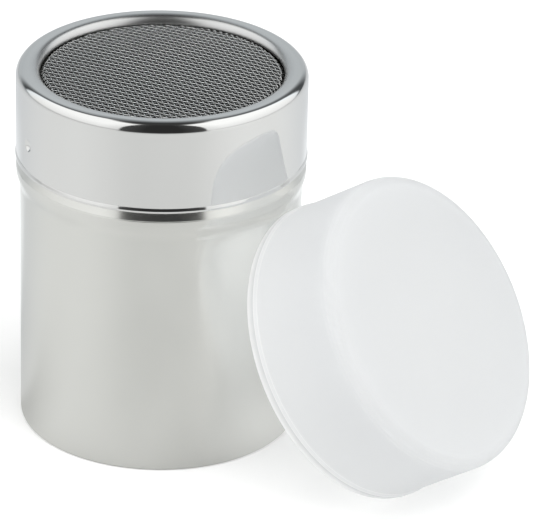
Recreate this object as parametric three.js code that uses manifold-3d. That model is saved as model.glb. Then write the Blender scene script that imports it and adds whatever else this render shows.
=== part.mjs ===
// Mesh-top spice shaker with its dust cap taken off and leaning against it.
// Units are millimetres, +Z is up and the origin is the centre of the canister's flat base.
//
// Five pieces: a drawn steel canister, a push-on steel collar with a rolled rim,
// the wire mesh under that rim, the pressed ring that holds the mesh up, and a moulded dust cap.

import * as THREE from 'three';
import { mergeVertices } from 'three/addons/utils/BufferGeometryUtils.js';
import Module from 'manifold-3d';

const wasm = await Module();
wasm.setup();

// Overall sizes and fits
const overallHeight = 92;
const collarRadius = 35;
const sheetThickness = 0.6;
const seatGap = 0.3;
const cutOverrun = 2;

// Collar: a sleeve with a rolled rim, a flared foot and two pressed pips
const collarHeight = 22.9;
const rimRollRadius = 2.85;
const innerRollHeight = 2.4;
const footFlare = 0.2;
const footHeight = 0.5;
const flareHeight = 0.8;
const pipHeightAboveFoot = 7.8;
const pipRadius = 1;
const pipDepth = 0.3;
const pipAzimuthsDegrees = [205, 25];

// Canister: a drawn cup with a stop bead and a neck inside the collar
const shoulderDepth = 0.95;
const baseCornerRadius = 0.8;
const beadConeHeight = 2;
const beadConeDepth = 0.6;
const beadLandHeight = 1.3;
const beadRunoutHeight = 4.5;
const neckToRingGap = 0.8;

// Mesh screen: woven wire, shown here as a net of every third wire
const wireDiameter = 0.4;
const wirePitch = 1.163;
const wiresPerBar = 3;
const weaveTurnDegrees = 15.1;
const meshToLipGap = 0.7;
const meshStepHeight = 0.5;
const meshStepRun = 0.4;
const meshDomeHeight = 1;
const meshUnderLip = 4.1;
const meshHemWidth = 0.5;
const smallestHoleShare = 0.35;

// Retaining ring: an L-section pressed ring
const ringFlangeWidth = 4.9;
const ringSkirtHeight = 2.6;

// Dust cap: a moulded cup that fits over the collar
const capFit = 0.5;
const capWall = 0.9;
const capHeight = 26.2;
const capEndThickness = 1;
const capBandHeight = 2.6;
const capBandStep = 0.4;
const capTaper = 0.15;
const capCornerRadius = 3.2;
const capAzimuthDegrees = -32.3;
const capLeanDegrees = 33.7;

// Facets
const roundSegments = 64;
const cornerSteps = 4;
const rollSteps = 5;
const domeSegments = 48;
const pipSegments = 12;
const bodySwingSteps = 5;

// Levels and radii that follow from the sizes above
const collarFoot = overallHeight - collarHeight;
const collarBore = collarRadius - sheetThickness;
const rollTopRadius = collarRadius - rimRollRadius;
const lipRadius = rollTopRadius - rimRollRadius;
const lipHeight = overallHeight - innerRollHeight;
const rollFoot = overallHeight - rimRollRadius;

const meshThickness = 2 * wireDiameter;
const meshMarginTop = lipHeight - seatGap;
const meshMarginFoot = meshMarginTop - meshThickness;
const meshPlateauRadius = lipRadius - meshToLipGap;
const meshOuterRadius = lipRadius + meshUnderLip;

const ringTop = meshMarginFoot - seatGap;
const ringOuterRadius = collarBore - seatGap;
const ringFoot = ringTop - sheetThickness - ringSkirtHeight;

const neckTop = ringFoot - neckToRingGap;
const neckRadius = collarBore - pipDepth - seatGap;
const ledgeHeight = collarFoot - seatGap;
const beadEdge = ledgeHeight - beadConeHeight;
const beadLandFoot = beadEdge - beadLandHeight;
const beadFoot = beadLandFoot - beadRunoutHeight;
const bodyRadius = collarRadius - shoulderDepth;

const capBore = collarRadius + capFit;
const capWallRadius = capBore + capWall;
const capBandRadius = capWallRadius + capBandStep;

const steelSatin = { color: 0xc8cac8, roughness: 0.35, metalness: 1 };
const steelPolished = { color: 0xd2d4d2, roughness: 0.1, metalness: 1 };
const steelWire = { color: 0xb4b6b4, roughness: 0.3, metalness: 1 };
const steelPlain = { color: 0xb9bab8, roughness: 0.4, metalness: 1 };
const milkyPlastic = { color: 0xeceeed, roughness: 0.45, metalness: 0, transparent: true, opacity: 0.85 };

// Points of an elliptic arc about (r, z), from one angle to another, ends included
function arc(r, z, radiusR, radiusZ, fromDegrees, toDegrees, steps) {
  const points = [];
  for (let i = 0; i <= steps; i += 1) {
    const angle = THREE.MathUtils.degToRad(fromDegrees + (toDegrees - fromDegrees) * i / steps);
    points.push(new THREE.Vector2(r + radiusR * Math.cos(angle), z + radiusZ * Math.sin(angle)));
  }
  return points;
}

// Points of a smooth swing between two radii: flat at both ends, as a half wave of a cosine
function swing(fromR, fromZ, toR, toZ, steps) {
  const points = [];
  for (let i = 0; i <= steps; i += 1) {
    const t = i / steps;
    const share = (1 - Math.cos(Math.PI * t)) / 2;
    points.push(new THREE.Vector2(fromR + (toR - fromR) * share, fromZ + (toZ - fromZ) * t));
  }
  return points;
}

function point(r, z) {
  return new THREE.Vector2(r, z);
}

// A profile turned about Z. The lathe turns about Y, so it is stood up afterwards.
function turned(profile, segments) {
  const geometry = new THREE.LatheGeometry(profile, segments);
  geometry.rotateX(Math.PI / 2);
  return geometry;
}

// A closed geometry as a solid that can be cut and joined
function solid(geometry) {
  const bare = geometry.index ? geometry.toNonIndexed() : geometry.clone();
  bare.deleteAttribute('normal');
  bare.deleteAttribute('uv');
  const merged = mergeVertices(bare);
  const mesh = new wasm.Mesh({
    numProp: 3,
    vertProperties: new Float32Array(merged.attributes.position.array),
    triVerts: new Uint32Array(merged.index.array),
  });
  mesh.merge();
  return new wasm.Manifold(mesh);
}

function geometryOf(manifold) {
  const mesh = manifold.getMesh();
  const geometry = new THREE.BufferGeometry();
  geometry.setAttribute('position', new THREE.BufferAttribute(new Float32Array(mesh.vertProperties), 3));
  geometry.setIndex(new THREE.BufferAttribute(new Uint32Array(mesh.triVerts), 1));
  return geometry;
}

function pieceOf(name, geometry, look) {
  geometry.computeVertexNormals();
  const mesh = new THREE.Mesh(geometry, new THREE.MeshStandardMaterial(look));
  mesh.name = name;
  return mesh;
}

// The cup's wall is the same sheet all over, so its inside profile is its outside one moved in
function canister() {
  const outer = [
    point(0, 0),
    ...arc(bodyRadius - baseCornerRadius, baseCornerRadius, baseCornerRadius, baseCornerRadius, -90, 0, cornerSteps),
    ...swing(bodyRadius, beadFoot, collarRadius, beadLandFoot, bodySwingSteps),
    point(collarRadius, beadEdge),
    point(collarRadius - beadConeDepth, ledgeHeight),
    point(neckRadius, ledgeHeight),
    point(neckRadius, neckTop),
  ];
  const innerNeck = neckRadius - sheetThickness;
  const innerBody = bodyRadius - sheetThickness;
  const inner = [
    point(innerNeck, neckTop),
    point(innerNeck, ledgeHeight - sheetThickness),
    point(collarRadius - beadConeDepth - sheetThickness, ledgeHeight - sheetThickness),
    point(collarRadius - sheetThickness, beadEdge),
    ...swing(innerBody, beadFoot, collarRadius - sheetThickness, beadLandFoot, bodySwingSteps).reverse(),
    point(innerBody, baseCornerRadius + sheetThickness),
    ...arc(innerBody - baseCornerRadius, baseCornerRadius + sheetThickness,
      baseCornerRadius, baseCornerRadius, 0, -90, cornerSteps).slice(1),
    point(0, sheetThickness),
  ];
  return pieceOf('canister', turned([...outer, ...inner], roundSegments), steelSatin);
}

// A flat ellipsoid lying on a cylinder's surface: it is the dent of a pip outside and its nose inside
function pip(surfaceRadius, azimuthDegrees) {
  const lens = new THREE.SphereGeometry(1, pipSegments, pipSegments / 2);
  lens.scale(pipDepth, pipRadius, pipRadius);
  lens.translate(surfaceRadius, 0, collarFoot + pipHeightAboveFoot);
  lens.rotateZ(THREE.MathUtils.degToRad(azimuthDegrees));
  return solid(lens);
}

// The sleeve is one sheet, rolled over at the top into a lip and flared a little at its foot
function collar() {
  const flareTop = collarFoot + footHeight + flareHeight;
  const rollInner = rimRollRadius - sheetThickness;
  const innerHeight = innerRollHeight - sheetThickness;
  const profile = [
    point(collarBore, collarFoot),
    point(collarRadius + footFlare, collarFoot),
    point(collarRadius + footFlare, collarFoot + footHeight),
    point(collarRadius, flareTop),
    ...arc(rollTopRadius, rollFoot, rimRollRadius, rimRollRadius, 0, 90, rollSteps),
    ...arc(rollTopRadius, lipHeight, rimRollRadius, innerRollHeight, 90, 180, rollSteps).slice(1),
    ...arc(rollTopRadius, lipHeight, rollInner, innerHeight, 180, 90, rollSteps),
    ...arc(rollTopRadius, rollFoot, rollInner, rollInner, 90, 0, rollSteps).slice(1),
    point(collarBore, collarFoot),
  ];
  let shell = solid(turned(profile, roundSegments));
  for (const azimuth of pipAzimuthsDegrees) {
    shell = shell.add(pip(collarBore, azimuth)).subtract(pip(collarRadius, azimuth));
  }
  return pieceOf('collar', geometryOf(shell), steelPolished);
}

// One square hole of the net, as a tall prism
function holePrism(side, centreX, centreY) {
  const half = side / 2;
  const outline = new THREE.Shape([
    new THREE.Vector2(centreX - half, centreY - half),
    new THREE.Vector2(centreX + half, centreY - half),
    new THREE.Vector2(centreX + half, centreY + half),
    new THREE.Vector2(centreX - half, centreY + half),
  ]);
  const prism = new THREE.ExtrudeGeometry(outline, { depth: meshThickness + 2 * cutOverrun, bevelEnabled: false });
  prism.translate(0, 0, -cutOverrun);
  prism.rotateZ(THREE.MathUtils.degToRad(weaveTurnDegrees));
  return solid(prism);
}

// The net: a flat round blank with a raised middle, its square holes, then the dome.
// The hem is left whole where the lip and the ring grip it.
function meshScreen() {
  const pitch = wiresPerBar * wirePitch;
  const side = pitch - wiresPerBar * wireDiameter;
  const marginRadius = meshPlateauRadius + meshStepRun;
  const holeField = meshPlateauRadius - meshHemWidth;
  const blank = solid(turned([
    point(0, 0),
    point(meshPlateauRadius, 0),
    point(marginRadius, -meshStepHeight),
    point(meshOuterRadius, -meshStepHeight),
    point(meshOuterRadius, meshThickness - meshStepHeight),
    point(marginRadius, meshThickness - meshStepHeight),
    point(meshPlateauRadius, meshThickness),
    point(0, meshThickness),
  ], domeSegments));
  const field = new THREE.CylinderGeometry(holeField, holeField, meshThickness + 2 * cutOverrun, domeSegments);
  field.rotateX(Math.PI / 2);
  field.translate(0, 0, meshThickness / 2);
  const fieldSolid = solid(field);
  const reach = Math.ceil(holeField / pitch);
  const smallestVolume = side * side * (meshThickness + 2 * cutOverrun) * smallestHoleShare;
  const holes = [];
  for (let column = -reach; column <= reach; column += 1) {
    for (let row = -reach; row <= reach; row += 1) {
      const hole = holePrism(side, column * pitch, row * pitch).intersect(fieldSolid);
      if (hole.volume() > smallestVolume) {
        holes.push(hole);
      }
    }
  }
  const geometry = geometryOf(blank.subtract(wasm.Manifold.union(holes)));
  const positions = geometry.attributes.position;
  for (let i = 0; i < positions.count; i += 1) {
    const share = Math.hypot(positions.getX(i), positions.getY(i)) / meshPlateauRadius;
    const rise = share < 1 ? meshDomeHeight * (1 - share * share) : 0;
    positions.setZ(i, positions.getZ(i) + rise);
  }
  const mesh = pieceOf('mesh_screen', geometry, steelWire);
  mesh.position.z = meshMarginFoot + meshStepHeight;
  return mesh;
}

function retainingRing() {
  const flangeInner = ringOuterRadius - ringFlangeWidth;
  const skirtInner = ringOuterRadius - sheetThickness;
  const flangeFoot = ringTop - sheetThickness;
  const profile = [
    point(flangeInner, flangeFoot),
    point(skirtInner, flangeFoot),
    point(skirtInner, ringFoot),
    point(ringOuterRadius, ringFoot),
    point(ringOuterRadius, ringTop),
    point(flangeInner, ringTop),
    point(flangeInner, flangeFoot),
  ];
  return pieceOf('retaining_ring', turned(profile, roundSegments), steelPlain);
}

// How far out the steel comes at any height up to the given one
function steelRadiusUpTo(height) {
  const climb = THREE.MathUtils.clamp((height - beadFoot) / beadRunoutHeight, 0, 1);
  const swung = bodyRadius + shoulderDepth * (1 - Math.cos(Math.PI * climb)) / 2;
  return height <= ledgeHeight ? swung : collarRadius + footFlare;
}

// The cap is drawn mouth down about its own axis, then leaned over so that the mouth's
// lowest point stands on the floor and its highest point rests on the canister
function dustCap() {
  const endRadius = capWallRadius - capTaper;
  const endBore = capBore - capTaper;
  const innerCorner = capCornerRadius - capWall;
  const innerEnd = capHeight - capEndThickness;
  const profile = [
    point(capBore, 0),
    point(capBandRadius, 0),
    point(capBandRadius, capBandHeight),
    point(capWallRadius, capBandHeight),
    ...arc(endRadius - capCornerRadius, capHeight - capCornerRadius,
      capCornerRadius, capCornerRadius, 0, 90, cornerSteps),
    point(0, capHeight),
    point(0, innerEnd),
    ...arc(endBore - innerCorner, innerEnd - innerCorner, innerCorner, innerCorner, 90, 0, cornerSteps),
    point(capBore, 0),
  ];
  const mesh = pieceOf('dust_cap', turned(profile, roundSegments), milkyPlastic);
  const lean = THREE.MathUtils.degToRad(capLeanDegrees);
  const mouthHeight = capBandRadius * Math.cos(lean);
  const reach = steelRadiusUpTo(2 * mouthHeight) + seatGap;
  mesh.rotation.y = Math.PI / 2 - lean;
  mesh.position.set(reach + capBandRadius * Math.sin(lean), 0, mouthHeight);
  const place = new THREE.Group();
  place.rotation.z = THREE.MathUtils.degToRad(capAzimuthDegrees);
  place.add(mesh);
  return place;
}

const shaker = new THREE.Group();
shaker.name = 'mesh_top_shaker';
shaker.add(canister(), collar(), meshScreen(), retainingRing(), dustCap());

export default shaker;
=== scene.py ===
"""Mesh-top spice shaker with its milky dust cap taken off and leaning against it.

Units are metres in the frame's own axes: +Z up, the origin at the centre of the canister's base,
the viewer towards -Y. The steel pieces and the cap are profiles turned about an axis, and the
mesh is two sets of waved wires that pass over and under each other.
"""

import math

import bpy
import numpy as np
from mathutils import Matrix, Vector


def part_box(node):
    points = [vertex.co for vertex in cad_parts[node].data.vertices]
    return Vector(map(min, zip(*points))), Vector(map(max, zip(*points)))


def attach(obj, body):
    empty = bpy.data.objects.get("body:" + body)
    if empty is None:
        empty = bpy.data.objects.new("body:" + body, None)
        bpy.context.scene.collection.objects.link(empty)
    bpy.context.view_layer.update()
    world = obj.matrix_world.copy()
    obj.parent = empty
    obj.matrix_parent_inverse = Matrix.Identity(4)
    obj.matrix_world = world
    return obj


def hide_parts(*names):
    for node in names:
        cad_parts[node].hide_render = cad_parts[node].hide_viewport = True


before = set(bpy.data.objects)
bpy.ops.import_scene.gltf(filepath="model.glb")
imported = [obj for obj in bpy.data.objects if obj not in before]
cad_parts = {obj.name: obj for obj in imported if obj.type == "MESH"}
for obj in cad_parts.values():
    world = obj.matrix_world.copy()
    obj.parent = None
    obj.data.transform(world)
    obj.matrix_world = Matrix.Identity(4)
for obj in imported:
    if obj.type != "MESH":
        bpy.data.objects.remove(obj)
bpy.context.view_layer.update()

# Sheet steel, the same in every pressed piece
SHEET = 0.0006
SHEET_EDGE_FILLET = 0.0002
SEAT_GAP = 0.0003

# Collar. The pips are drawn deeper outside than in the bore, so that they catch the light.
COLLAR_RADIUS = 0.035
RIM_ROLL_RADIUS = 0.00285
INNER_ROLL_HEIGHT = 0.0024
FOOT_BAND_HEIGHT = 0.0005
FOOT_FLARE_HEIGHT = 0.0007
FOOT_FILLET = 0.00016
PIP_HEIGHT_ABOVE_FOOT = 0.0078
PIP_RADIUS = 0.0016
PIP_DEPTH = 0.0003
PIP_SHOWN_DEPTH = 0.0008
PIP_AZIMUTHS_DEGREES = (205, 25)

# Fine pressed lines round the collar's flare and the canister's bead
CREASE_DEPTH = 0.0001
CREASE_WIDTH = 0.00026
CREASE_FILLET = CREASE_WIDTH / 4

# Canister. Its bead is a cone under the collar, a straight land and a runout down to the body.
SHOULDER_DEPTH = 0.00095
BASE_CORNER_RADIUS = 0.0008
BEAD_CONE_HEIGHT = 0.002
BEAD_CONE_DEPTH = 0.00078
BEAD_LAND_HEIGHT = 0.0013
BEAD_RUNOUT_HEIGHT = 0.0045
BEAD_INNER_FILLET = 0.0006
NECK_FILLET = 0.0001
NECK_TO_RING_GAP = 0.0008

# Wire mesh
WIRE_DIAMETER = 0.00026
WIRE_PITCH = 0.001163
MESH_THICKNESS = 0.0008
WEAVE_TURN_DEGREES = 15.1
MESH_TO_LIP_GAP = 0.0008
MESH_STEP_HEIGHT = 0.0009
MESH_STEP_RUN = 0.0006
MESH_DOME_HEIGHT = 0.0006
MESH_CLAMPED_WIDTH = 0.0018

# Retaining ring
RING_FLANGE_WIDTH = 0.0049
RING_SKIRT_HEIGHT = 0.0026
RING_BEND_FILLET = 0.00025

# Dust cap. The solid's circles have many straight sides, so the wall is drawn slimmer by a
# small room, to stay within them.
CAP_FIT = 0.0005
CAP_WALL = 0.0009
CAP_HEIGHT = 0.0262
CAP_END_THICKNESS = 0.001
CAP_BAND_HEIGHT = 0.0026
CAP_BAND_STEP = 0.0004
CAP_STEP_LENGTH = 0.0008
CAP_TAPER = 0.00015
CAP_CORNER_RADIUS = 0.0032
CAP_EDGE_FILLET = 0.00025
CAP_MOUTH_FILLET = 0.0005
CAP_ROUNDNESS_ROOM = 0.00007
CAP_AZIMUTH_DEGREES = -32.3
CAP_LEAN_DEGREES = 33.7

# Painted shade on the cap's plastic, as shares of the band's darker tone, and where painted highlights
# make it white
CAP_CORNER_SHADE_SHARE = 0.35
CAP_INSIDE_SHADE_SHARE = 0.55
CAP_HIGHLIGHT_MOUTH_HEIGHT = 0.0006
CAP_HIGHLIGHT_STEP_REACH = CAP_EDGE_FILLET / 4

# Fineness of the surfaces
TURN_SEGMENTS = 256
FILLET_STEPS = 6
ROLL_STEPS = 28
SUPPORT_DISTANCE = 0.00008
LONG_RUN = 4 * SUPPORT_DISTANCE
PIP_STEPS = 24
PIP_REACH_SHARE = 1.3
STEPS_PER_PITCH = 6
WIRE_SIDES = 7

# Levels and radii that follow from the sizes above and from the frame
COLLAR_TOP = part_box("collar")[1].z
COLLAR_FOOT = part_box("collar")[0].z
FOOT_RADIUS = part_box("collar")[1].x
COLLAR_BORE = COLLAR_RADIUS - SHEET
ROLL_TOP_RADIUS = COLLAR_RADIUS - RIM_ROLL_RADIUS
LIP_RADIUS = ROLL_TOP_RADIUS - RIM_ROLL_RADIUS
LIP_HEIGHT = COLLAR_TOP - INNER_ROLL_HEIGHT
ROLL_FOOT = COLLAR_TOP - RIM_ROLL_RADIUS
PIP_HEIGHT = COLLAR_FOOT + PIP_HEIGHT_ABOVE_FOOT

MESH_MARGIN_FOOT = LIP_HEIGHT - SEAT_GAP - MESH_THICKNESS
MESH_MIDDLE = MESH_MARGIN_FOOT + MESH_THICKNESS / 2
MESH_PLATEAU_RADIUS = LIP_RADIUS - MESH_TO_LIP_GAP
MESH_WIRE_REACH = LIP_RADIUS + MESH_CLAMPED_WIDTH

RING_TOP = MESH_MARGIN_FOOT - SEAT_GAP
RING_OUTER_RADIUS = COLLAR_BORE - SEAT_GAP
RING_FOOT = RING_TOP - SHEET - RING_SKIRT_HEIGHT

NECK_TOP = RING_FOOT - NECK_TO_RING_GAP
NECK_RADIUS = COLLAR_BORE - PIP_DEPTH - SEAT_GAP
LEDGE_HEIGHT = COLLAR_FOOT - SEAT_GAP
BEAD_EDGE = LEDGE_HEIGHT - BEAD_CONE_HEIGHT
BEAD_LAND_FOOT = BEAD_EDGE - BEAD_LAND_HEIGHT
BEAD_FOOT = BEAD_LAND_FOOT - BEAD_RUNOUT_HEIGHT
BODY_RADIUS = COLLAR_RADIUS - SHOULDER_DEPTH

CAP_BORE = COLLAR_RADIUS + CAP_FIT
CAP_WALL_RADIUS = CAP_BORE + CAP_WALL
CAP_BAND_TOP = CAP_BAND_HEIGHT - CAP_STEP_LENGTH / 2
CAP_WALL_FOOT = CAP_BAND_HEIGHT + CAP_STEP_LENGTH / 2

# Steel finishes: two colours that broad clouding mixes, the two roughnesses that it varies
# between, and the scale and depth of the fine marks
SATIN_FINISH = {
    "colours": ((0.785, 0.79, 0.765, 1), (0.76, 0.765, 0.74, 1)),
    "roughnesses": (0.2, 0.25),
    "mark_scale": (60, 60, 1500),
    "mark_depth": 0.0000003,
    "anisotropy": 0.75,
}
POLISHED_FINISH = {
    "colours": ((0.79, 0.795, 0.79, 1), (0.77, 0.775, 0.77, 1)),
    "roughnesses": (0.05, 0.08),
    "mark_scale": (200, 200, 1500),
    "mark_depth": 0.0000002,
}
RING_FINISH = {
    "colours": ((0.4, 0.405, 0.4, 1), (0.36, 0.365, 0.36, 1)),
    "roughnesses": (0.28, 0.36),
    "mark_scale": (150, 150, 9000),
    "mark_depth": 0.000001,
}
UNPOLISHED_FINISH = {
    "colours": ((0.38, 0.38, 0.372, 1), (0.34, 0.34, 0.333, 1)),
    "roughnesses": (0.4, 0.5),
    "mark_scale": (60, 60, 1500),
    "mark_depth": 0.0000005,
}
WIRE_FINISH = {
    "colours": ((0.9, 0.905, 0.9, 1), (0.84, 0.845, 0.84, 1)),
    "roughnesses": (0.17, 0.21),
    "mark_scale": (900, 900, 900),
    "mark_depth": 0.000001,
}
STEEL_CLOUD_SCALE = (60, 60, 45)
CLOUD_RANGE = (0.3, 0.7)
DULL_RIM_COLOUR = (0.65, 0.655, 0.655, 1)
DULL_RIM_ROUGHNESS = 0.33
# Painted shade on the mesh's hem under the collar's lip
HEM_SHADE_COLOUR = (0.1, 0.1, 0.09, 1)

# A quarter turn from along the turned lines to across them
ACROSS_THE_LINES = 0.25

# Milky plastic
PLASTIC_GLOSS = {"Roughness": 0.24, "IOR": 1.49, "Specular_IOR_Level": 0.5}
PASSED_ON_SHARE = 0.81
PLASTIC_COLOURS = ((0.905, 0.91, 0.915, 1), (0.92, 0.925, 0.93, 1))
SHADED_PLASTIC_COLOUR = (0.8, 0.805, 0.81, 1)
PLASTIC_CLOUD_SCALE = (55, 55, 55)
PLASTIC_GRAIN_SCALE = (2600, 2600, 2600)
PLASTIC_GRAIN_STRENGTH = 0.4
PLASTIC_GRAIN_DEPTH = 0.00001
WHITE = (1, 1, 1, 1)

# Detail and roughness of the two kinds of noise
FINE_NOISE = (3, 0.6)
BROAD_NOISE = (2, 0.5)

# Camera: its orbit about a point on the canister's axis, then the small turns away from it
ORBIT_HEIGHT = 0.045
ORBIT_DISTANCE = 1.08178
ORBIT_ELEVATION_DEGREES = 25.934
PAN_DEGREES = 1.575
TILT_DEGREES = -0.221
ROLL_DEGREES = 1.336
LENS_MM = 296.35
SENSOR_MM = 36
NEAREST_SEEN = 0.01
FARTHEST_SEEN = 100

# Lamps
LAMP_WIDTH = 1.6
OVERHEAD_LAMP_PLACE = (0.2, -0.35, 1.5)
OVERHEAD_LAMP_WATTS = 16
FRONT_LAMP_PLACE = (0.6, -1.2, 0.65)
FRONT_LAMP_WATTS = 11

# The room that the steel mirrors. Every angle is a direction from the object in degrees: across,
# it is counted from the middle of a dark opening, the same to both sides, and upwards, from
# level. A patch has a start and an end each way. Each is the two angles between which it fades,
# or None where the patch has no such end. Strength 1 is white.
OPENING_MIDDLE_DEGREES = 1

# Where the left side's values change into the right side's, as parts of a direction towards +X
LEFT_TO_RIGHT = (-0.2, 0.2)

# Grey wall behind, with a dark strip at each edge
BACK_WALL_STRENGTHS = (0.62, 0.21)
BACK_WALL_FALL = (46, 70)
BACK_WALL_FOOT = (15, 38)
BACK_WALL_FOOT_SHARES = (0.9, 1)
STRIP_ACROSS = ((118, 124), (134, 154))
STRIP_UPWARDS = ((-6, 4), (66, 80))
STRIP_LIFTS = (4, 0)
STRIP_SHIFTS = (3, -3)
STRIP_RISE = (18, 45)
STRIP_STRENGTHS = (0.08, 0.16)

# Bright panels at both sides, and the edge of the table below them
LOW_SIDE_ACROSS = ((28, 34), (118, 126))
LOW_SIDE_UPWARDS = (None, (4, 12))
LOW_SIDE_STRENGTHS = (0.72, 0.9)
PANEL_ACROSS = ((32, 34), (125.5, 131))
PANEL_UPWARDS = ((1, 7), (68, 75))
PANEL_CUT_RISE = (34, 62)
PANEL_CUT_WIDTHS = (0, 13)
PANEL_RISE = (5, 42)
PANEL_STRENGTHS = (1.03, 1.25)
PANEL_LEFT_TO_RIGHT_SHARES = (0.95, 1)
PANEL_EDGE = (34, 48)
PANEL_EDGE_SHARES = (0.85, 1)

# Dark opening towards the viewer, and the dark overhead
OPENING_ACROSS = (None, (32, 34))
OPENING_UPWARDS = ((-9, 3), None)
OPENING_WIDTH = (14, 30)
OPENING_STRENGTHS = (0.03, 0.07)
OVERHEAD_FADE = (70, 80)
OVERHEAD_STRENGTH = 0.05

# The light's tint before the object and behind it
BEHIND_FADE = (112, 130)
FRONT_TINT = (1, 1, 0.99, 1)
BEHIND_TINT = (0.94, 0.99, 1.02, 1)

# Floor: its colour for the camera and, before and behind the object, for the steel that mirrors
# it. An angle is counted from the opening's middle to a place on the floor, in degrees, and a
# distance from the canister's axis. A turn is the two angles between which a value changes.
FLOOR_HALF_WIDTH = 6.0
FLOOR_COLOUR = (0.77, 0.77, 0.765, 1)
FLOOR_BEFORE_COLOUR = (0.5, 0.5, 0.493, 1)
FLOOR_BEHIND_COLOUR = (0.49, 0.503, 0.518, 1)
FLOOR_TURN = (90, 150)
FLOOR_END_COLOUR = (0.05, 0.05, 0.05, 1)
FLOOR_END_DISTANCES = (0.3, 1.5)
FLOOR_END_ACROSS = (28, 38)

# The floor's own light: for the camera, and as the steel mirrors it. A reach is how far a place
# lies towards +X.
CAMERA_GLOW = 0.28
GLOW_TURN = (30, 150)
GLOW_STRENGTHS = (0.07, 0.13)
SIDE_GLOW_ACROSS = ((14, 70), (94, 150))
SIDE_GLOW_REACH = (-0.02, 0.02)
SIDE_GLOW_STRENGTHS = (0.22, 0.24)
FOOT_DISTANCES = (0.045, 0.08)
UNDER_CAP_REACH = (0.012, 0.042)
UNDER_CAP_GLOWS = (0, 0.24)
FOOT_FRONT_TURN = (60, 86)
FOOT_FRONT_GLOWS = (0.06, -0.06)
FOOT_BACK_TURN = (90, 100)
FOOT_BACK_GLOWS = (0, 0.14)
BACK_DISTANCES = (0.12, 0.2)
BACK_GLOWS = (0.35, 0)
BACK_FADE = (130, 148)


def arc(r, z, radius_r, radius_z, start, end, steps):
    """Corners along an ellipse's arc: the centre plus each radius times the cosine or sine of
    evenly spaced angles in degrees. They take no fillet of their own."""
    angles = np.radians(np.linspace(start, end, steps + 1))
    no_fillet = np.zeros(len(angles))
    corners = [r + radius_r * np.cos(angles), z + radius_z * np.sin(angles), no_fillet]
    return np.column_stack(corners).tolist()


def swing(from_r, from_z, to_r, to_z, steps):
    """Corners of a smooth change of radius: the height climbs evenly and the radius follows half
    a wave of a cosine, so it is level at both ends."""
    shares = np.linspace(0, 1, steps + 1)
    waves = (1 - np.cos(math.pi * shares)) / 2
    no_fillet = np.zeros(len(shares))
    corners = [from_r + (to_r - from_r) * waves, from_z + (to_z - from_z) * shares, no_fillet]
    return np.column_stack(corners).tolist()


def crease(radius, height):
    """Corners of a fine pressed line: a shallow V in a wall, rounded where it meets the wall."""
    half = CREASE_WIDTH / 2
    return [
        (radius, height - half, CREASE_FILLET),
        (radius - CREASE_DEPTH, height, 0),
        (radius, height + half, CREASE_FILLET),
    ]


def rounded_corner(before, corner, after, fillet):
    """Points of the arc that touches both sides of a corner. The arc's centre lies on the line
    that halves the corner, and each touching point lies the fillet times the tangent of half the
    turn away from the corner."""
    into = (corner - before) / np.linalg.norm(corner - before)
    away = (after - corner) / np.linalg.norm(after - corner)
    turn = math.acos(np.clip(into @ away, -1, 1))
    reach = fillet * math.tan(turn / 2)
    side = math.copysign(1, into[0] * away[1] - into[1] * away[0])
    centre = corner - into * reach + side * fillet * np.array([-into[1], into[0]])
    spoke = corner - into * reach - centre
    angles = side * turn * np.linspace(0, 1, FILLET_STEPS + 1)
    cosines, sines = np.cos(angles), np.sin(angles)
    return centre + np.column_stack(
        [spoke[0] * cosines - spoke[1] * sines, spoke[0] * sines + spoke[1] * cosines]
    )


def supported(points, closed):
    """A profile with a point added close to both ends of each long straight run, so that the run
    keeps a straight shading beside a fillet."""
    following = np.roll(points, -1, axis=0) if closed else np.vstack([points[1:], points[-1:]])
    kept = []
    for point, after in zip(points, following):
        kept.append(point)
        length = np.linalg.norm(after - point)
        if length > LONG_RUN:
            step = (after - point) * (SUPPORT_DISTANCE / length)
            kept.extend([point + step, after - step])
    return np.array(kept)


def outline(corners, closed):
    """A profile as an array of (r, z) points. Each corner is (r, z, fillet), and each fillet
    becomes its arc."""
    places = np.array([c[:2] for c in corners], float)
    points = []
    for i, (_, _, fillet) in enumerate(corners):
        at_end = not closed and i in (0, len(corners) - 1)
        if fillet and not at_end:
            after = places[(i + 1) % len(corners)]
            points.extend(rounded_corner(places[i - 1], places[i], after, fillet))
        else:
            points.append(places[i])
    return supported(np.array(points), closed)


def canister_outline():
    """The cup's section, from the base's centre up the outside, over the neck's top and down the
    inside. The inside repeats the outside's body, bead and neck, one sheet further in."""
    inner_neck, inner_body = NECK_RADIUS - SHEET, BODY_RADIUS - SHEET
    edge_radius = COLLAR_RADIUS - BEAD_CONE_DEPTH
    inner_ledge = LEDGE_HEIGHT - SHEET
    runout = swing(BODY_RADIUS, BEAD_FOOT, COLLAR_RADIUS, BEAD_LAND_FOOT, ROLL_STEPS)
    inner_runout = swing(inner_body, BEAD_FOOT, COLLAR_RADIUS - SHEET, BEAD_LAND_FOOT, ROLL_STEPS)
    corners = [
        (0, 0, 0),
        (BODY_RADIUS, 0, BASE_CORNER_RADIUS),
        *runout,
        *crease(COLLAR_RADIUS, BEAD_EDGE),
        (edge_radius, LEDGE_HEIGHT, NECK_FILLET),
        (NECK_RADIUS, LEDGE_HEIGHT, NECK_FILLET),
        (NECK_RADIUS, NECK_TOP, SHEET_EDGE_FILLET),
        (inner_neck, NECK_TOP, SHEET_EDGE_FILLET),
        (inner_neck, inner_ledge, NECK_FILLET),
        (edge_radius - SHEET, inner_ledge, NECK_FILLET),
        (COLLAR_RADIUS - SHEET, BEAD_EDGE, BEAD_INNER_FILLET),
        *reversed(inner_runout),
        (inner_body, SHEET, BASE_CORNER_RADIUS),
        (0, SHEET, 0),
    ]
    return outline(corners, False)


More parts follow.
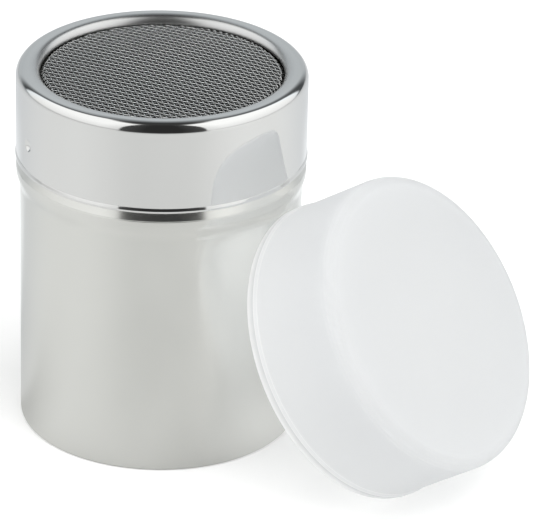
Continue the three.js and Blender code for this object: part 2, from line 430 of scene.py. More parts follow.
def collar_outline():
    """The sleeve's section: out under the foot, up over the flare and the wall, round the rolled
    rim to its lip and back along the inside of the sheet."""
    flare_top = COLLAR_FOOT + FOOT_BAND_HEIGHT + FOOT_FLARE_HEIGHT
    inner_roll = RIM_ROLL_RADIUS - SHEET
    inner_height = INNER_ROLL_HEIGHT - SHEET
    lip_cut = SHEET / 2
    corners = [
        (COLLAR_BORE, COLLAR_FOOT, SHEET_EDGE_FILLET),
        (FOOT_RADIUS, COLLAR_FOOT, FOOT_FILLET),
        (FOOT_RADIUS, COLLAR_FOOT + FOOT_BAND_HEIGHT, FOOT_FILLET),
        *crease(COLLAR_RADIUS, flare_top),
        *arc(ROLL_TOP_RADIUS, ROLL_FOOT, RIM_ROLL_RADIUS, RIM_ROLL_RADIUS, 0, 90, ROLL_STEPS),
        *arc(ROLL_TOP_RADIUS, LIP_HEIGHT, RIM_ROLL_RADIUS, INNER_ROLL_HEIGHT, 90, 180, ROLL_STEPS)[1:],
        *arc(LIP_RADIUS + lip_cut, LIP_HEIGHT, lip_cut, lip_cut, 180, 360, FILLET_STEPS)[1:-1],
        *arc(ROLL_TOP_RADIUS, LIP_HEIGHT, inner_roll, inner_height, 180, 90, ROLL_STEPS),
        *arc(ROLL_TOP_RADIUS, ROLL_FOOT, inner_roll, inner_roll, 90, 0, ROLL_STEPS)[1:],
    ]
    return outline(corners, True)


def ring_outline():
    """The pressed ring's L-shaped section: a flange under the mesh's hem and a skirt down the bore."""
    flange_inner = RING_OUTER_RADIUS - RING_FLANGE_WIDTH
    skirt_inner = RING_OUTER_RADIUS - SHEET
    flange_foot = RING_TOP - SHEET
    corners = [
        (flange_inner, flange_foot, SHEET_EDGE_FILLET),
        (skirt_inner, flange_foot, RING_BEND_FILLET),
        (skirt_inner, RING_FOOT, SHEET_EDGE_FILLET),
        (RING_OUTER_RADIUS, RING_FOOT, SHEET_EDGE_FILLET),
        (RING_OUTER_RADIUS, RING_TOP, SHEET + RING_BEND_FILLET),
        (flange_inner, RING_TOP, SHEET_EDGE_FILLET),
    ]
    return outline(corners, True)


def cap_outline():
    """The cap's section about its own axis, mouth at zero: inside from the end's middle down to
    the mouth, out over the band and up the wall to the end's outside."""
    wall_radius = CAP_WALL_RADIUS - CAP_ROUNDNESS_ROOM
    band_radius = wall_radius + CAP_BAND_STEP
    inner_end = CAP_HEIGHT - CAP_END_THICKNESS
    corners = [
        (0, inner_end, 0),
        (CAP_BORE - CAP_TAPER, inner_end, CAP_CORNER_RADIUS - CAP_WALL),
        (CAP_BORE, 0, CAP_EDGE_FILLET),
        (band_radius, 0, CAP_MOUTH_FILLET),
        (band_radius, CAP_BAND_TOP, CAP_EDGE_FILLET),
        (wall_radius, CAP_WALL_FOOT, CAP_EDGE_FILLET),
        (wall_radius - CAP_TAPER, CAP_HEIGHT, CAP_CORNER_RADIUS),
        (0, CAP_HEIGHT, 0),
    ]
    return outline(corners, False)


def new_piece(name, points, faces, material):
    """A new smooth-shaded object at the origin, from an array of points and a list of faces."""
    mesh = bpy.data.meshes.new(name)
    mesh.from_pydata(points.tolist(), [], faces)
    mesh.validate()
    mesh.shade_smooth()
    mesh.materials.append(material)
    piece = bpy.data.objects.new(name, mesh)
    bpy.context.scene.collection.objects.link(piece)
    return piece


def even_angles():
    """One whole turn in even steps."""
    return np.arange(TURN_SEGMENTS) * (2 * math.pi / TURN_SEGMENTS)


def turned_grid(profile, angles):
    """Radii, heights and angles of a profile turned about Z, each as a whole grid: a row for
    every profile point and a column for every angle."""
    turned_angles, radii = np.meshgrid(angles, profile[:, 0])
    heights = np.repeat(profile[:, 1:2], len(angles), axis=1)
    return radii, heights, turned_angles


def grid_points(radii, heights, angles):
    """Points of a turned grid, row after row: the radius times the cosine and the sine of the
    angle, and the height."""
    places = [radii * np.cos(angles), radii * np.sin(angles), heights]
    return np.stack(places, axis=2).reshape(-1, 3)


def grid_faces(rows, columns, closed):
    """Four-cornered faces of a turned grid. Neighbouring rows and columns are joined, the last
    column to the first and, for a closed profile, the last row to the first."""
    row_count = rows if closed else rows - 1
    row, column = np.meshgrid(np.arange(row_count), np.arange(columns), indexing="ij")
    next_row, next_column = (row + 1) % rows, (column + 1) % columns
    corners = [row * columns + column, row * columns + next_column,
               next_row * columns + next_column, next_row * columns + column]
    return np.stack([c.ravel() for c in corners], axis=1)


def turned_ring(name, profile, material, angles=None, shape=None):
    """A closed profile turned about Z. shape may move the radii of the whole grid first."""
    angles = even_angles() if angles is None else angles
    radii, heights, turned_angles = turned_grid(profile, angles)
    if shape is not None:
        radii = shape(radii, heights, turned_angles)
    faces = grid_faces(len(profile), len(angles), True)
    return new_piece(name, grid_points(radii, heights, turned_angles), faces.tolist(), material)


def turned_cup(name, profile, material, place=None):
    """A profile that starts and ends on the axis, turned about Z. Its two ends become single
    points, each joined to its nearest row by a fan. place may carry the points elsewhere."""
    columns = TURN_SEGMENTS
    points = grid_points(*turned_grid(profile[1:-1], even_angles()))
    start, end = len(points), len(points) + 1
    poles = [[0, 0, profile[0, 1]], [0, 0, profile[-1, 1]]]
    points = np.vstack([points, poles])
    if place is not None:
        points = place(points)
    column = np.arange(columns)
    after = (column + 1) % columns
    last_row = start - columns
    first_fan = np.column_stack([np.full(columns, start), after, column])
    last_fan = np.column_stack([np.full(columns, end), last_row + column, last_row + after])
    faces = grid_faces(len(profile) - 2, columns, False)
    return new_piece(name, points, faces.tolist() + first_fan.tolist() + last_fan.tolist(), material)


def finish_inside(cup, material, first_row):
    """Gives another material to a turned cup's faces from a row of its grid on, and to the second
    fan, which lies inside."""
    cup.data.materials.append(material)
    face = np.arange(len(cup.data.polygons))
    grid_end = len(face) - 2 * TURN_SEGMENTS
    in_grid = (face >= first_row * TURN_SEGMENTS) & (face < grid_end)
    in_fan = face >= grid_end + TURN_SEGMENTS
    cup.data.polygons.foreach_set("material_index", (in_grid | in_fan).astype(np.int32))


def mark_rows(cup, name, shares):
    """Gives a turned cup an attribute with one share for each row of its grid, and 0 at its two
    poles, which come last."""
    mark = cup.data.attributes.new(name, "FLOAT", "POINT")
    values = np.zeros(len(cup.data.vertices))
    values[:len(shares) * TURN_SEGMENTS] = np.repeat(shares, TURN_SEGMENTS)
    mark.data.foreach_set("value", values)


def with_pip_rows(profile):
    """The collar's profile with extra rows across the pips, on the wall's outside and its bore."""
    reach = PIP_REACH_SHARE * PIP_RADIUS
    heights = PIP_HEIGHT + np.linspace(-reach, reach, PIP_STEPS + 1)
    rows = []
    for point, after in zip(profile, np.roll(profile, -1, axis=0)):
        rows.append(point)
        crosses = min(point[1], after[1]) < heights[0] and max(point[1], after[1]) > heights[-1]
        if crosses:
            order = heights if after[1] > point[1] else heights[::-1]
            rows.extend(np.column_stack([np.full(len(order), point[0]), order]))
    return np.array(rows)


def angles_with_pips():
    """Even angles all round, with finer ones across each pip."""
    reach = PIP_REACH_SHARE * PIP_RADIUS / COLLAR_RADIUS
    spacing = math.pi / TURN_SEGMENTS
    across = np.linspace(-reach, reach, PIP_STEPS + 1)
    fine = [math.radians(azimuth) + across for azimuth in PIP_AZIMUTHS_DEGREES]
    even = even_angles()
    for group in fine:
        even = even[(even < group[0] - spacing) | (even > group[-1] + spacing)]
    return np.sort(np.concatenate([even, *fine]))


def press_pips(radii, heights, angles):
    """Each pip is a round punch mark. It sinks the wall by its depth times one less the square of
    the distance from its middle as a share of its radius, deeper outside than in the bore."""
    outside = radii > COLLAR_RADIUS - SHEET / 2
    depth = np.where(outside, PIP_SHOWN_DEPTH, PIP_DEPTH)
    sunk = np.zeros_like(radii)
    for azimuth in PIP_AZIMUTHS_DEGREES:
        across = (angles - math.radians(azimuth)) * COLLAR_RADIUS
        share = np.minimum(np.hypot(across, heights - PIP_HEIGHT) / PIP_RADIUS, 1)
        sunk += depth * (1 - share**2)
    return radii - sunk


def lean_cap(points):
    """Turns the cap's axis over to its lean and azimuth, and sets its mouth's lowest point on the
    floor and its highest point a seat's gap off the canister's wall at that height."""
    band_radius = CAP_WALL_RADIUS + CAP_BAND_STEP
    lean, azimuth = math.radians(CAP_LEAN_DEGREES), math.radians(CAP_AZIMUTH_DEGREES)
    mouth_height = band_radius * math.cos(lean)
    climb = np.clip((2 * mouth_height - BEAD_FOOT) / BEAD_RUNOUT_HEIGHT, 0, 1)
    steel_radius = BODY_RADIUS + SHOULDER_DEPTH * (1 - math.cos(math.pi * climb)) / 2
    reach = steel_radius + SEAT_GAP + band_radius * math.sin(lean)
    place = (
        Matrix.Rotation(azimuth, 4, "Z")
        @ Matrix.Translation((reach, 0, mouth_height))
        @ Matrix.Rotation(math.pi / 2 - lean, 4, "Y")
    )
    turn = np.array(place.to_3x3())
    return points @ turn.T + np.array(place.translation)


def mesh_height(radius):
    """The mesh's middle level: a parabola over the raised middle, then a smooth step down to the
    margin that the lip holds."""
    share = np.minimum(radius / MESH_PLATEAU_RADIUS, 1)
    dome = MESH_STEP_HEIGHT + MESH_DOME_HEIGHT * (1 - share**2)
    fall = np.clip((radius - MESH_PLATEAU_RADIUS + MESH_STEP_RUN / 2) / MESH_STEP_RUN, 0, 1)
    return MESH_MIDDLE + dome - MESH_STEP_HEIGHT * (1 - np.cos(math.pi * fall)) / 2


def wire_points(row, phase, turn):
    """Points of one wire, ring after ring. The wire lies its row's number of pitches off the
    middle. Its height waves as a cosine whose period is two pitches, and each ring of points lies
    round the wave's own normal and binormal, so that the wire is round."""
    along_way = np.array([math.cos(turn), math.sin(turn)])
    across_way = np.array([-math.sin(turn), math.cos(turn)])
    wire_radius = WIRE_DIAMETER / 2
    offset = row * WIRE_PITCH
    step = WIRE_PITCH / STEPS_PER_PITCH
    steps = int(math.sqrt(MESH_WIRE_REACH**2 - offset**2) / step)
    along = np.arange(-steps, steps + 1) * step
    wave = wire_radius * np.cos(math.pi * (along / WIRE_PITCH + row + phase))
    height = mesh_height(np.hypot(along, offset)) + wave
    slope = np.gradient(height, along)
    length = np.sqrt(1 + slope**2)
    ring_angles = np.arange(WIRE_SIDES) * (2 * math.pi / WIRE_SIDES)
    sideways = wire_radius * np.cos(ring_angles)
    upwards = wire_radius * np.sin(ring_angles)
    along_points = along[:, None] - (slope / length)[:, None] * upwards
    heights = height[:, None] + (1 / length)[:, None] * upwards
    flat = along_points[..., None] * along_way + (offset + sideways)[None, :, None] * across_way
    return np.concatenate([flat, heights[..., None]], axis=2).reshape(-1, 3)


def waved_wires(name, turn_degrees, phase, material):
    """One set of parallel wires. Neighbours wave the opposite way, so that two such sets at right
    angles and in opposite phase pass over and under each other. Each wire's ends are closed."""
    count = int(MESH_WIRE_REACH / WIRE_PITCH)
    all_points, all_quads, all_ends, used = [], [], [], 0
    for row in range(-count, count + 1):
        points = wire_points(row, phase, math.radians(turn_degrees))
        all_points.append(points)
        all_quads.append(used + grid_faces(len(points) // WIRE_SIDES, WIRE_SIDES, False))
        first_ring = used + np.arange(WIRE_SIDES)
        last_ring = first_ring + len(points) - WIRE_SIDES
        all_ends.extend([first_ring[::-1], last_ring])
        used += len(points)
    faces = np.vstack(all_quads).tolist() + np.array(all_ends).tolist()
    return new_piece(name, np.vstack(all_points), faces, material)


def maths(tree, operation, first, second=None):
    """The result of one operation on one or two values, each a number or another node's output."""
    node = tree.nodes.new("ShaderNodeMath")
    node.operation = operation
    for socket, value in zip(node.inputs, (first, second)):
        if isinstance(value, (int, float)):
            socket.default_value = value
        elif value is not None:
            tree.links.new(value, socket)
    return node.outputs["Value"]


def product(tree, first, *others):
    """All the values multiplied, in their order."""
    result = first
    for other in others:
        result = maths(tree, "MULTIPLY", result, other)
    return result


def total(tree, first, *others):
    """All the values added, in their order."""
    result = first
    for other in others:
        result = maths(tree, "ADD", result, other)
    return result


def remainder(tree, share):
    """What a share leaves of 1."""
    return maths(tree, "SUBTRACT", 1, share)


def covered(tree, base, mask, other):
    """The base value, replaced by another where the mask is 1."""
    return total(tree, product(tree, base, remainder(tree, mask)), product(tree, mask, other))


def spread(tree, value, source, target, smooth=False):
    """Carries a value from one range on to another, clamped at both ends."""
    node = tree.nodes.new("ShaderNodeMapRange")
    node.interpolation_type = "SMOOTHSTEP" if smooth else "LINEAR"
    for name, number in zip(("From Min", "From Max", "To Min", "To Max"), (*source, *target)):
        node.inputs[name].default_value = number
    tree.links.new(value, node.inputs["Value"])
    return node.outputs["Result"]


def band(tree, value, rise, fall):
    """1 between a smooth rise and a smooth fall, and 0 outside them. Each is the pair of values
    between which it fades, or None where the band has no such end."""
    started = spread(tree, value, rise, (0, 1), True) if rise else None
    ended = spread(tree, value, fall, (1, 0), True) if fall else None
    if started is None or ended is None:
        return started or ended
    return product(tree, started, ended)


def patch(tree, azimuth, elevation, across, upwards):
    """1 inside a patch of directions: the product of a band of azimuth and one of elevation."""
    return product(tree, band(tree, azimuth, *across), band(tree, elevation, *upwards))


def coordinates(tree, kind):
    """The x, y and z of a place on a piece, of kind Object, or of a direction in the world, of
    kind Generated."""
    place = tree.nodes.new("ShaderNodeTexCoord")
    parts = tree.nodes.new("ShaderNodeSeparateXYZ")
    tree.links.new(place.outputs[kind], parts.inputs["Vector"])
    return tuple(parts.outputs)


def azimuth_from_opening(tree, x, y):
    """The angle about Z between a place or direction and the opening's middle, in degrees."""
    around = maths(tree, "DEGREES", maths(tree, "ARCTAN2", x, product(tree, y, -1)))
    return maths(tree, "ABSOLUTE", maths(tree, "SUBTRACT", around, OPENING_MIDDLE_DEGREES))


def distance_from_axis(tree):
    """How far a place on a piece lies from the Z axis."""
    place = tree.nodes.new("ShaderNodeTexCoord")
    flat = tree.nodes.new("ShaderNodeVectorMath")
    flat.operation = "MULTIPLY"
    flat.inputs[1].default_value = (1, 1, 0)
    length = tree.nodes.new("ShaderNodeVectorMath")
    length.operation = "LENGTH"
    tree.links.new(place.outputs["Object"], flat.inputs[0])
    tree.links.new(flat.outputs["Vector"], length.inputs[0])
    return length.outputs["Value"]


def seen_rays(tree, rays):
    """1 for camera, glossy and transmitted rays, 0 for the rays that light the object."""
    seen = maths(tree, "MAXIMUM", rays.outputs["Is Camera Ray"], rays.outputs["Is Glossy Ray"])
    return maths(tree, "MAXIMUM", seen, rays.outputs["Is Transmission Ray"])


def new_material(name):
    """An empty material, with its node tree and its output."""
    material = bpy.data.materials.new(name)
    material.use_nodes = True
    tree = material.node_tree
    tree.nodes.clear()
    return material, tree, tree.nodes.new("ShaderNodeOutputMaterial")


def shader(tree, kind, **sockets):
    """A shader node with its own sockets set by name. An underscore in a name stands for a space."""
    node = tree.nodes.new(kind)
    for name, value in sockets.items():
        node.inputs[name.replace("_", " ")].default_value = value
    return node


def scaled_noise(tree, scale, detail, roughness):
    """Noise on Object coordinates, with a scale for each axis."""
    place = tree.nodes.new("ShaderNodeTexCoord")
    mapping = tree.nodes.new("ShaderNodeMapping")
    mapping.inputs["Scale"].default_value = scale
    noise = shader(tree, "ShaderNodeTexNoise", Scale=1, Detail=detail, Roughness=roughness)
    tree.links.new(place.outputs["Object"], mapping.inputs["Vector"])
    tree.links.new(mapping.outputs["Vector"], noise.inputs["Vector"])
    return noise.outputs["Fac"]


def bump(tree, height, strength, distance):
    """A normal tilted by the slope of a height, where a height of 1 stands for the distance."""
    node = shader(tree, "ShaderNodeBump", Strength=strength, Distance=distance)
    tree.links.new(height, node.inputs["Height"])
    return node.outputs["Normal"]


def marked(tree, name):
    """The share that an attribute of the piece gives."""
    mark = tree.nodes.new("ShaderNodeAttribute")
    mark.attribute_name = name
    return mark.outputs["Fac"]


def blended_colour(tree, share, first, second):
    """The first colour where the share is 0 and the second where it is 1, each given as numbers
    or as another node's output."""
    node = tree.nodes.new("ShaderNodeMix")
    node.data_type = "RGBA"
    for name, colour in (("A", first), ("B", second)):
        if isinstance(colour, tuple):
            node.inputs[name].default_value = colour
        else:
            tree.links.new(colour, node.inputs[name])
    tree.links.new(share, node.inputs["Factor"])
    return node.outputs["Result"]


def cover_colour(tree, surface, share, colour):
    """Blends another colour over the surface's own."""
    own = surface.inputs["Base Color"].links[0].from_socket
    tree.links.new(blended_colour(tree, share, own, colour), surface.inputs["Base Color"])


def steel(name, colours, roughnesses, mark_scale, mark_depth, anisotropy=0):
    """Steel whose fine marks are noise that drives a bump. Where the noise changes fast with
    height and slowly round the piece, they are turned lines. Broad noise varies the colour and
    the roughness a little."""
    material, tree, output = new_material(name)
    surface = shader(tree, "ShaderNodeBsdfPrincipled", Metallic=1.0, Anisotropic=anisotropy)
    surface.inputs["Anisotropic Rotation"].default_value = ACROSS_THE_LINES
    marks = scaled_noise(tree, mark_scale, *FINE_NOISE)
    clouds = scaled_noise(tree, STEEL_CLOUD_SCALE, *BROAD_NOISE)
    tree.links.new(blended_colour(tree, clouds, *colours), surface.inputs["Base Color"])
    tree.links.new(spread(tree, clouds, CLOUD_RANGE, roughnesses), surface.inputs["Roughness"])
    tree.links.new(bump(tree, marks, 1, mark_depth), surface.inputs["Normal"])
    if anisotropy:
        tangent = tree.nodes.new("ShaderNodeTangent")
        tangent.direction_type = "RADIAL"
        tangent.axis = "Z"
        tree.links.new(tangent.outputs["Tangent"], surface.inputs["Tangent"])
    tree.links.new(surface.outputs["BSDF"], output.inputs["Surface"])
    return material, tree, surface


def polished_steel():
    """Mirror-polished outside and over the rim's top. The polishing wheel doesn't reach far down
    the rim's inner side, so it is duller there."""
    material, tree, surface = steel("polished_steel", **POLISHED_FINISH)
    mirror = surface.inputs["Roughness"].links[0].from_socket
    inside = spread(tree, distance_from_axis(tree), (LIP_RADIUS, ROLL_TOP_RADIUS), (1, 0), True)
    tree.links.new(covered(tree, mirror, inside, DULL_RIM_ROUGHNESS), surface.inputs["Roughness"])
    cover_colour(tree, surface, inside, DULL_RIM_COLOUR)
    return material


def drawn_wire():
    """Bright drawn wire. The hem that the lip holds is painted dark, as painted shade under the lip."""
    material, tree, surface = steel("drawn_wire", **WIRE_FINISH)
    # Painted shade: the wires darken out towards the lip's edge
    hem_edge = (MESH_PLATEAU_RADIUS, LIP_RADIUS - SEAT_GAP)
    hem = spread(tree, distance_from_axis(tree), hem_edge, (0, 1))
    cover_colour(tree, surface, hem, HEM_SHADE_COLOUR)
    return material


def milky_plastic():
    """Natural polypropylene: a satin surface over a body that passes light on in all directions.
    It is painted a little darker inside and where it is thick, in the band and the corner, as painted
    shade, and painted white along its mouth and its band's step as painted highlights. Fine noise gives
    the texture and broad noise the slight clouding."""
    material, tree, output = new_material("milky_polypropylene")
    surface = shader(tree, "ShaderNodeBsdfPrincipled", **PLASTIC_GLOSS)
    through = shader(tree, "ShaderNodeBsdfTranslucent")
    mixed = shader(tree, "ShaderNodeMixShader", Fac=PASSED_ON_SHARE)
    clouds = scaled_noise(tree, PLASTIC_CLOUD_SCALE, *BROAD_NOISE)
    clouded = blended_colour(tree, clouds, *PLASTIC_COLOURS)
    # Painted shade: darker in the band, all over the inside and at the outer corner
    painted_shade_colour = blended_colour(tree, marked(tree, "painted_shade_part"), clouded, SHADED_PLASTIC_COLOUR)
    # Painted highlights: white along the mouth's edge and the band's step
    colour = blended_colour(tree, marked(tree, "painted_highlight_edge"), painted_shade_colour, WHITE)
    grain = scaled_noise(tree, PLASTIC_GRAIN_SCALE, *BROAD_NOISE)
    normal = bump(tree, grain, PLASTIC_GRAIN_STRENGTH, PLASTIC_GRAIN_DEPTH)
    tree.links.new(colour, surface.inputs["Base Color"])
    tree.links.new(normal, surface.inputs["Normal"])
    tree.links.new(colour, through.inputs["Color"])
    tree.links.new(surface.outputs["BSDF"], mixed.inputs[1])
    tree.links.new(through.outputs["BSDF"], mixed.inputs[2])
    tree.links.new(mixed.outputs["Shader"], output.inputs["Surface"])
    return material


def mirrored_glow(tree, azimuth, side, distance, floor_end):
    """The floor's own light as the steel mirrors it: strong at both sides of the object, weak
    before and behind it and none past the floor's end. Close to the canister it is lifted under
    the cap, before and behind, and lowered a little at the sides. It is lifted again further
    back, where the shadows fall."""
    front = spread(tree, azimuth, GLOW_TURN, GLOW_STRENGTHS)
    sides = band(tree, azimuth, *SIDE_GLOW_ACROSS)
    broad = covered(tree, front, sides, spread(tree, side, SIDE_GLOW_REACH, SIDE_GLOW_STRENGTHS))
    broad = product(tree, broad, remainder(tree, floor_end))
    near = total(
        tree,
        spread(tree, side, UNDER_CAP_REACH, UNDER_CAP_GLOWS),
        spread(tree, azimuth, FOOT_FRONT_TURN, FOOT_FRONT_GLOWS),
        spread(tree, azimuth, FOOT_BACK_TURN, FOOT_BACK_GLOWS),
    )
    near = product(tree, spread(tree, distance, FOOT_DISTANCES, (1, 0)), near)
    back = spread(tree, distance, BACK_DISTANCES, BACK_GLOWS)
    back = product(tree, back, band(tree, azimuth, BACK_FADE, None))
    return total(tree, maths(tree, "MAXIMUM", total(tree, broad, near), 0), back)


def floor_material():
    """Pale matt floor. What it lacks of white comes as a little light of its own for the rays
    that see it, so that its shadows stay. As the steel mirrors it, it is greyer, and it ends in
    the dark towards the viewer."""
    material, tree, output = new_material("pale_floor")
    matt = shader(tree, "ShaderNodeBsdfDiffuse")
    glow = shader(tree, "ShaderNodeEmission", Color=WHITE)
    both = tree.nodes.new("ShaderNodeAddShader")
    rays = tree.nodes.new("ShaderNodeLightPath")
    from_camera = rays.outputs["Is Camera Ray"]
    side, ahead, _ = coordinates(tree, "Object")
    azimuth = azimuth_from_opening(tree, side, ahead)
    distance = distance_from_axis(tree)
    far = spread(tree, distance, FLOOR_END_DISTANCES, (0, 1))
    towards_viewer = band(tree, azimuth, None, FLOOR_END_ACROSS)
    floor_end = product(tree, far, towards_viewer, remainder(tree, from_camera))
    turned = spread(tree, azimuth, FLOOR_TURN, (0, 1))
    mirrored = blended_colour(tree, turned, FLOOR_BEFORE_COLOUR, FLOOR_BEHIND_COLOUR)
    colour = blended_colour(tree, rays.outputs["Is Glossy Ray"], FLOOR_COLOUR, mirrored)
    colour = blended_colour(tree, floor_end, colour, FLOOR_END_COLOUR)
    strength = mirrored_glow(tree, azimuth, side, distance, floor_end)
    strength = covered(tree, strength, from_camera, CAMERA_GLOW)
    strength = product(tree, seen_rays(tree, rays), strength)
    tree.links.new(colour, matt.inputs["Color"])
    tree.links.new(strength, glow.inputs["Strength"])
    tree.links.new(matt.outputs["BSDF"], both.inputs[0])
    tree.links.new(glow.outputs["Emission"], both.inputs[1])
    tree.links.new(both.outputs["Shader"], output.inputs["Surface"])
    return material


def back_wall(tree, azimuth, elevation, side):
    """The grey wall behind the object, edged by two dark strips. The left strip stands a little
    higher than the right one and nearer to the viewer."""
    wall = spread(tree, elevation, BACK_WALL_FALL, BACK_WALL_STRENGTHS)
    wall = product(tree, wall, spread(tree, elevation, BACK_WALL_FOOT, BACK_WALL_FOOT_SHARES))
    lift = spread(tree, side, LEFT_TO_RIGHT, STRIP_LIFTS)
    shift = spread(tree, side, LEFT_TO_RIGHT, STRIP_SHIFTS)
    above_table = maths(tree, "SUBTRACT", elevation, lift)
    strips = patch(tree, total(tree, azimuth, shift), above_table, STRIP_ACROSS, STRIP_UPWARDS)
    return covered(tree, wall, strips, spread(tree, elevation, STRIP_RISE, STRIP_STRENGTHS))


def side_panels(tree, strength, azimuth, elevation, side):
    """Lays the two broad bright panels over the room, and the pale edge of the table below them.
    The panels' upper corners at the back are cut off. They are brighter higher up, and dimmer
    beside the opening."""
    low_sides = patch(tree, azimuth, elevation, LOW_SIDE_ACROSS, LOW_SIDE_UPWARDS)
    low_strength = spread(tree, side, LEFT_TO_RIGHT, LOW_SIDE_STRENGTHS)
    strength = covered(tree, strength, low_sides, low_strength)
    cut = total(tree, azimuth, spread(tree, elevation, PANEL_CUT_RISE, PANEL_CUT_WIDTHS))
    panels = patch(tree, cut, elevation, PANEL_ACROSS, PANEL_UPWARDS)
    brightness = product(
        tree,
        spread(tree, elevation, PANEL_RISE, PANEL_STRENGTHS),
        spread(tree, side, LEFT_TO_RIGHT, PANEL_LEFT_TO_RIGHT_SHARES),
        spread(tree, azimuth, PANEL_EDGE, PANEL_EDGE_SHARES),
    )
    return covered(tree, strength, panels, brightness)


def dark_opening(tree, strength, azimuth, elevation):
    """Lays the opening towards the viewer over the room, darkest in its middle, and the dark
    overhead."""
    opening = patch(tree, azimuth, elevation, OPENING_ACROSS, OPENING_UPWARDS)
    strength = covered(tree, strength, opening, spread(tree, azimuth, OPENING_WIDTH, OPENING_STRENGTHS))
    return covered(tree, strength, band(tree, elevation, OVERHEAD_FADE, None), OVERHEAD_STRENGTH)


def studio_world():
    """The room that the steel mirrors, by direction from the object, and plain white for the
    camera."""
    world = bpy.data.worlds.new("studio")
    bpy.context.scene.world = world
    world.use_nodes = True
    tree = world.node_tree
    tree.nodes.clear()
    side, ahead, up = coordinates(tree, "Generated")
    azimuth = azimuth_from_opening(tree, side, ahead)
    elevation = maths(tree, "DEGREES", maths(tree, "ARCSINE", up))
    rays = tree.nodes.new("ShaderNodeLightPath")
    from_camera = rays.outputs["Is Camera Ray"]
    strength = back_wall(tree, azimuth, elevation, side)
    strength = side_panels(tree, strength, azimuth, elevation, side)
    strength = dark_opening(tree, strength, azimuth, elevation)
    strength = covered(tree, strength, from_camera, 1)
    behind = maths(tree, "SUBTRACT", band(tree, azimuth, BEHIND_FADE, None), from_camera)
    tint = blended_colour(tree, behind, FRONT_TINT, BEHIND_TINT)
    background = tree.nodes.new("ShaderNodeBackground")
    output = tree.nodes.new("ShaderNodeOutputWorld")
    tree.links.new(tint, background.inputs["Color"])
    tree.links.new(strength, background.inputs["Strength"])
    tree.links.new(background.outputs["Background"], output.inputs["Surface"])


def studio_floor():
    """A square floor that the canister's base stands on."""
    half = FLOOR_HALF_WIDTH
    mesh = bpy.data.meshes.new("floor")
    corners = [(-half, -half, 0), (half, -half, 0), (half, half, 0), (-half, half, 0)]
    mesh.from_pydata(corners, [], [(0, 1, 2, 3)])
    mesh.materials.append(floor_material())
    floor = bpy.data.objects.new("floor", mesh)
    bpy.context.scene.collection.objects.link(floor)


def soft_lamp(name, place, watts):
    """A wide soft lamp aimed at the origin, which lights matt surfaces and shows in no reflection."""
    data = bpy.data.lights.new(name, "AREA")
    data.shape = "DISK"
    data.size = LAMP_WIDTH
    data.energy = watts
    lamp = bpy.data.objects.new(name, data)
    lamp.location = place
    lamp.rotation_mode = "QUATERNION"
    lamp.rotation_quaternion = (-lamp.location).to_track_quat("-Z", "Y")
    lamp.visible_glossy = False
    lamp.visible_camera = False
    bpy.context.scene.collection.objects.link(lamp)


def camera():
    """The photograph's view: on its orbit, looking along its pan and tilt, then rolled."""
    elevation = math.radians(ORBIT_ELEVATION_DEGREES)
    back = Vector((0, -math.cos(elevation), math.sin(elevation)))
    place = Vector((0, 0, ORBIT_HEIGHT)) + back * ORBIT_DISTANCE
    pan, pitch = math.radians(PAN_DEGREES), math.radians(TILT_DEGREES - ORBIT_ELEVATION_DEGREES)
    ahead = Vector((math.sin(pan) * math.cos(pitch), math.cos(pan) * math.cos(pitch), math.sin(pitch)))
    roll = Matrix.Rotation(math.radians(ROLL_DEGREES), 3, "Z")
    turn = ahead.to_track_quat("-Z", "Y").to_matrix() @ roll
    data = bpy.data.cameras.new("camera")
    data.lens = LENS_MM
    data.sensor_width = SENSOR_MM
    data.clip_start = NEAREST_SEEN
    data.clip_end = FARTHEST_SEEN
    eye = bpy.data.objects.new("camera", data)
    eye.matrix_world = Matrix.Translation(place) @ turn.to_4x4()
    bpy.context.scene.collection.objects.link(eye)
    bpy.context.scene.camera = eye


def stands_for(piece, node, body):
    """Sets a piece under the body that carries it and hides the solid that it stands for."""
    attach(piece, body)
    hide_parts(node)


def canister():
    """The drawn cup, satin outside and unpolished from the neck's top down its inside."""
    satin, _, _ = steel("satin_steel", **SATIN_FINISH)
    unpolished, _, _ = steel("inner_steel", **UNPOLISHED_FINISH)
    section = canister_outline()
    shell = turned_cup("canister_shell", section, satin)
    finish_inside(shell, unpolished, int(np.argmax(section[:, 1])))
    stands_for(shell, "canister", "canister_body")


def collar():
    """The polished sleeve with its two pressed pips."""
    section = with_pip_rows(collar_outline())
    sleeve = turned_ring("collar_sleeve", section, polished_steel(), angles_with_pips(), press_pips)
    stands_for(sleeve, "collar", "collar_body")


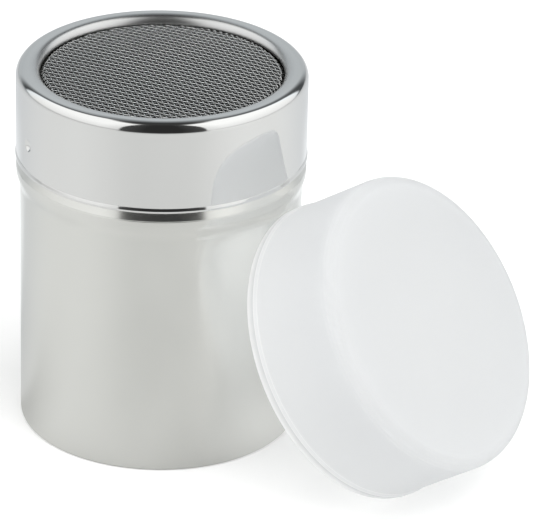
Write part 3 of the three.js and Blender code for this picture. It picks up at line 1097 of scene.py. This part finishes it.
def retaining_ring():
    """The pressed ring that holds the mesh's hem up under the collar's lip."""
    plain, _, _ = steel("ring_steel", **RING_FINISH)
    ring = turned_ring("mesh_ring", ring_outline(), plain)
    stands_for(ring, "retaining_ring", "collar_body")


def wire_mesh():
    """A plain weave: two sets of wires at right angles, half a wave apart."""
    wire = drawn_wire()
    warp = waved_wires("mesh_warp", WEAVE_TURN_DEGREES, 0, wire)
    weft = waved_wires("mesh_weft", WEAVE_TURN_DEGREES + 90, 1, wire)
    for wires in (warp, weft):
        stands_for(wires, "mesh_screen", "collar_body")


def painted_shade_rows(radius, height, outside):
    """For each row of the cap's section, how much painted shade its plastic takes: 1 in the band, one
    share all over the inside, and at the outer corner a share times the sine of twice the angle round
    it, which fades out at both its ends."""
    corner_radius = CAP_WALL_RADIUS - CAP_CORNER_RADIUS
    above_corner = height - CAP_HEIGHT + CAP_CORNER_RADIUS
    around = np.arctan2(above_corner, np.maximum(radius - corner_radius, 0))
    in_corner = np.sin(2 * np.clip(around, 0, math.pi / 2)) * CAP_CORNER_SHADE_SHARE
    inside = np.arange(len(height)) < np.argmin(height)
    in_band = outside & (height < CAP_BAND_TOP)
    return np.where(in_band, 1, np.where(inside, CAP_INSIDE_SHADE_SHARE, in_corner))


def dust_cap():
    """The moulded cup, with its painted shade and painted highlights marked row by row."""
    section = cap_outline()
    shell = turned_cup("dust_cap_shell", section, milky_plastic(), lean_cap)
    radius, height = section[1:-1].T
    outside = radius > CAP_BORE + CAP_WALL / 2
    from_step_edge = np.abs(np.abs(height - CAP_BAND_HEIGHT) - CAP_STEP_LENGTH / 2)
    at_step = outside & (from_step_edge < CAP_HIGHLIGHT_STEP_REACH)
    # Painted shade on the band, the inside and the outer corner
    mark_rows(shell, "painted_shade_part", painted_shade_rows(radius, height, outside))
    # Painted highlights along the mouth's edge and at both edges of the band's step
    mark_rows(shell, "painted_highlight_edge", at_step | (height < CAP_HIGHLIGHT_MOUTH_HEIGHT))
    stands_for(shell, "dust_cap", "cap_body")


camera()
studio_world()
studio_floor()
soft_lamp("overhead", OVERHEAD_LAMP_PLACE, OVERHEAD_LAMP_WATTS)
soft_lamp("front", FRONT_LAMP_PLACE, FRONT_LAMP_WATTS)
canister()
collar()
retaining_ring()
wire_mesh()
dust_cap()
bpy.context.scene.view_settings.view_transform = "Standard"
